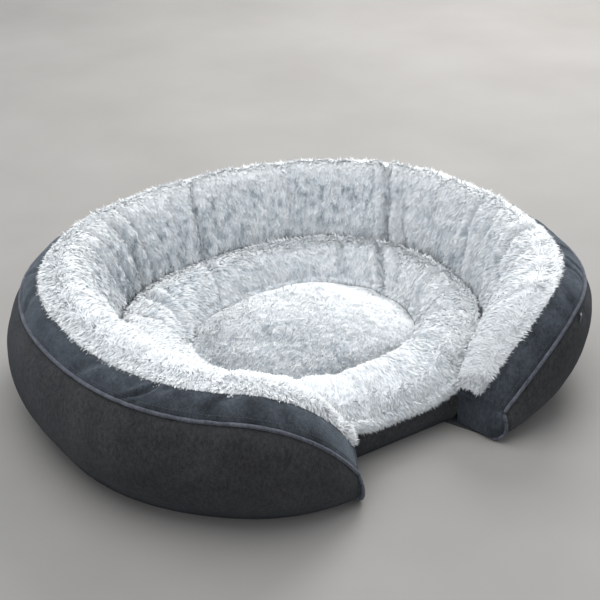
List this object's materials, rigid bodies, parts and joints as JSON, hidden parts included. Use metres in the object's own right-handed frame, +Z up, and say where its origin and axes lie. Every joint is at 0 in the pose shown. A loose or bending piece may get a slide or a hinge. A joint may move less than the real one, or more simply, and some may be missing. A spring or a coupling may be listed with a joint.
{
  "type": "pet bed",
  "caption": "Oval bolster pet bed with an open front, a raised stuffed wall, a lower padded ring and a domed plush centre cushion.",
  "frame": {"origin": "on the floor, under the middle of the bed's bounding box", "axes": "+Z up, -Y out of the entrance, +X to the right as seen from the entrance looking in"},
  "size_m": [0.9304, 0.7752, 0.2301],
  "materials": {
    "charcoal_suede": "matt brushed faux suede, charcoal grey",
    "piping_suede": "matt brushed faux suede strip folded over a cord",
    "plush": "long soft pile, pale silver grey",
    "base_cloth": "plain woven base cloth",
    "wadding": "bonded fibre wadding",
    "fibre_fill": "loose polyester fibre filling",
    "cord_core": "twisted cotton piping cord",
    "sewing_thread": "spun polyester thread",
    "tag_tape": "blank woven tape"
  },
  "bodies": {
    "root": {"base_panel": "base_cloth", "base_wadding": "wadding", "bolster_fill": "fibre_fill", "outer_wall_panel": "charcoal_suede", "upper_band_panel": "charcoal_suede", "bolster_plush_panel": "plush", "inner_ring_fill": "fibre_fill", "inner_ring_plush_panel": "plush", "front_gusset": "charcoal_suede", "centre_fill": "fibre_fill", "centre_plush_panel": "plush", "piping_cord": "cord_core", "piping_cover": "piping_suede", "crease_seam_thread": "sewing_thread", "plush_seam_thread": "sewing_thread", "centre_seam_thread": "sewing_thread", "side_tag": "tag_tape"}
  },
  "joints": []
}
